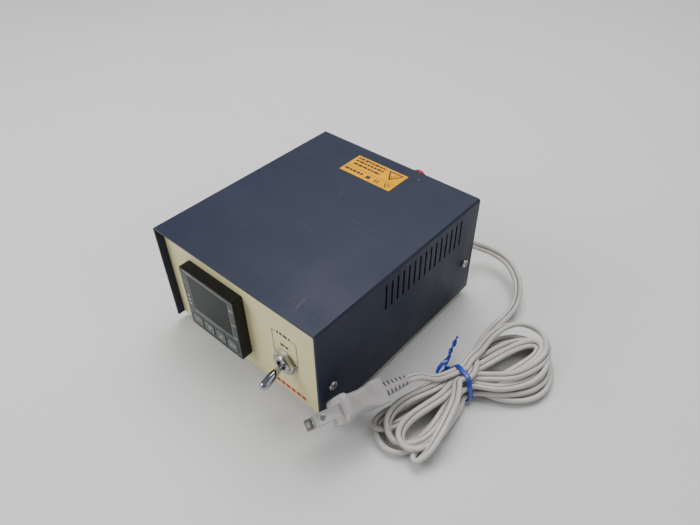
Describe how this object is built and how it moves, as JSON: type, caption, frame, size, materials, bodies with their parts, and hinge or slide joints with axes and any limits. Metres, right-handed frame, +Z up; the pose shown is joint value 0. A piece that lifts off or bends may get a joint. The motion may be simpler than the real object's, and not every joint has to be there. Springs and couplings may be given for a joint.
{
  "type": "bench temperature controller",
  "caption": "Vented steel bench control box with a square panel-mounted temperature controller, toggle power switch, rear terminals and a tied mains cord.",
  "frame": {"origin": "on the bench, under the middle of the instrument's bounding box, its cord and plug left out", "axes": "+X to the right seen from the front, +Y towards the rear panel, +Z up"},
  "size_m": [0.2203, 0.2014, 0.0793],
  "materials": {
    "cover_paint": "satin slate-blue enamel",
    "panel_paint": "satin cream enamel",
    "nickel": "bright nickel plate",
    "chrome": "bright chrome plate",
    "black_rubber": "matt moulded rubber",
    "aluminium": "plain extruded",
    "black_plastic": "fine moulded texture",
    "face_film": "printed grey-green film",
    "display_glass": "dark tinted acrylic",
    "display_grey": "matt",
    "circuit_board": "solder mask",
    "key_film": "printed grey-green film",
    "phenolic": "moulded phenolic",
    "brass": "plain",
    "amber_label": "printed adhesive label",
    "cream_plastic": "moulded",
    "fuse_glass": "clear glass tube",
    "red_plastic": "moulded",
    "cord_grey": "warm grey flexible PVC",
    "blue_vinyl": "blue vinyl twist tie"
  },
  "bodies": {
    "case": {"base_tray": "panel_paint", "black_terminal_collar": "black_plastic", "caution_label": "amber_label", "chassis_rivets": "aluminium", "controller_bezel": "black_plastic", "controller_case": "black_plastic", "controller_clip": "black_plastic", "controller_face": "face_film", "controller_gasket": "black_rubber", "controller_terminal_screws": "nickel", "controller_terminals": "black_plastic", "cord_bush": "black_rubber", "cord_hank": "cord_grey", "cord_lead": "cord_grey", "cord_tail": "cord_grey", "cord_tie": "blue_vinyl", "cover_screws": "nickel", "display_lens": "display_glass", "display_module": "display_grey", "foot_nuts": "nickel", "foot_screws": "nickel", "front_board": "circuit_board", "front_panel": "panel_paint", "fuse_holder": "black_plastic", "fuse_nut": "black_plastic", "heat_sink": "aluminium", "main_board": "circuit_board", "outlet_body": "black_plastic", "outlet_contacts": "brass", "plug_blades": "nickel", "plug_body": "cord_grey", "plug_strain_relief": "cord_grey", "rear_panel": "panel_paint", "red_terminal_collar": "red_plastic", "relay_module": "cream_plastic", "relay_screws": "nickel", "rubber_feet": "black_rubber", "tact_switches": "black_plastic", "terminal_block": "phenolic", "terminal_block_screws": "nickel", "terminal_nuts": "nickel", "terminal_studs": "brass", "toggle_body": "phenolic", "toggle_bushing": "nickel", "toggle_lugs": "brass", "toggle_nut": "nickel", "toggle_washer": "nickel", "top_cover": "cover_paint"},
    "mode_key": {"mode_key": "key_film"},
    "down_key": {"down_key": "key_film"},
    "up_key": {"up_key": "key_film"},
    "set_key": {"set_key": "key_film"},
    "toggle_lever": {"toggle_lever": "chrome"},
    "red_knob": {"red_terminal_knob": "red_plastic", "red_terminal_insert": "brass"},
    "black_knob": {"black_terminal_knob": "black_plastic", "black_terminal_insert": "brass"},
    "fuse_cap": {"fuse_cap": "black_plastic", "fuse_link": "fuse_glass"}
  },
  "joints": [
    {"name": "mode_key_press", "type": "slide", "parent": "case", "child": "mode_key", "axis": [0, 1, 0], "range_m": [0, 0.0005], "stiffness_N_per_m": 4000},
    {"name": "down_key_press", "type": "slide", "parent": "case", "child": "down_key", "axis": [0, 1, 0], "range_m": [0, 0.0005], "stiffness_N_per_m": 4000},
    {"name": "up_key_press", "type": "slide", "parent": "case", "child": "up_key", "axis": [0, 1, 0], "range_m": [0, 0.0005], "stiffness_N_per_m": 4000},
    {"name": "set_key_press", "type": "slide", "parent": "case", "child": "set_key", "axis": [0, 1, 0], "range_m": [0, 0.0005], "stiffness_N_per_m": 4000},
    {"name": "power_toggle", "type": "hinge", "parent": "case", "child": "toggle_lever", "pos_m": [0.0366, -0.0706, 0.0336], "axis": [-1, 0, 0], "range_deg": [0, 34]},
    {"name": "red_terminal_turn", "type": "hinge", "parent": "case", "child": "red_knob", "pos_m": [0.01, 0.0804, 0.064], "axis": [0, 1, 0], "range_deg": [0, 1080]},
    {"name": "black_terminal_turn", "type": "hinge", "parent": "case", "child": "black_knob", "pos_m": [0.01, 0.0804, 0.04495], "axis": [0, 1, 0], "range_deg": [0, 1080]},
    {"name": "fuse_cap_turn", "type": "hinge", "parent": "case", "child": "fuse_cap", "pos_m": [0.024, 0.0724, 0.038], "axis": [0, 1, 0], "range_deg": [0, 45]}
  ]
}
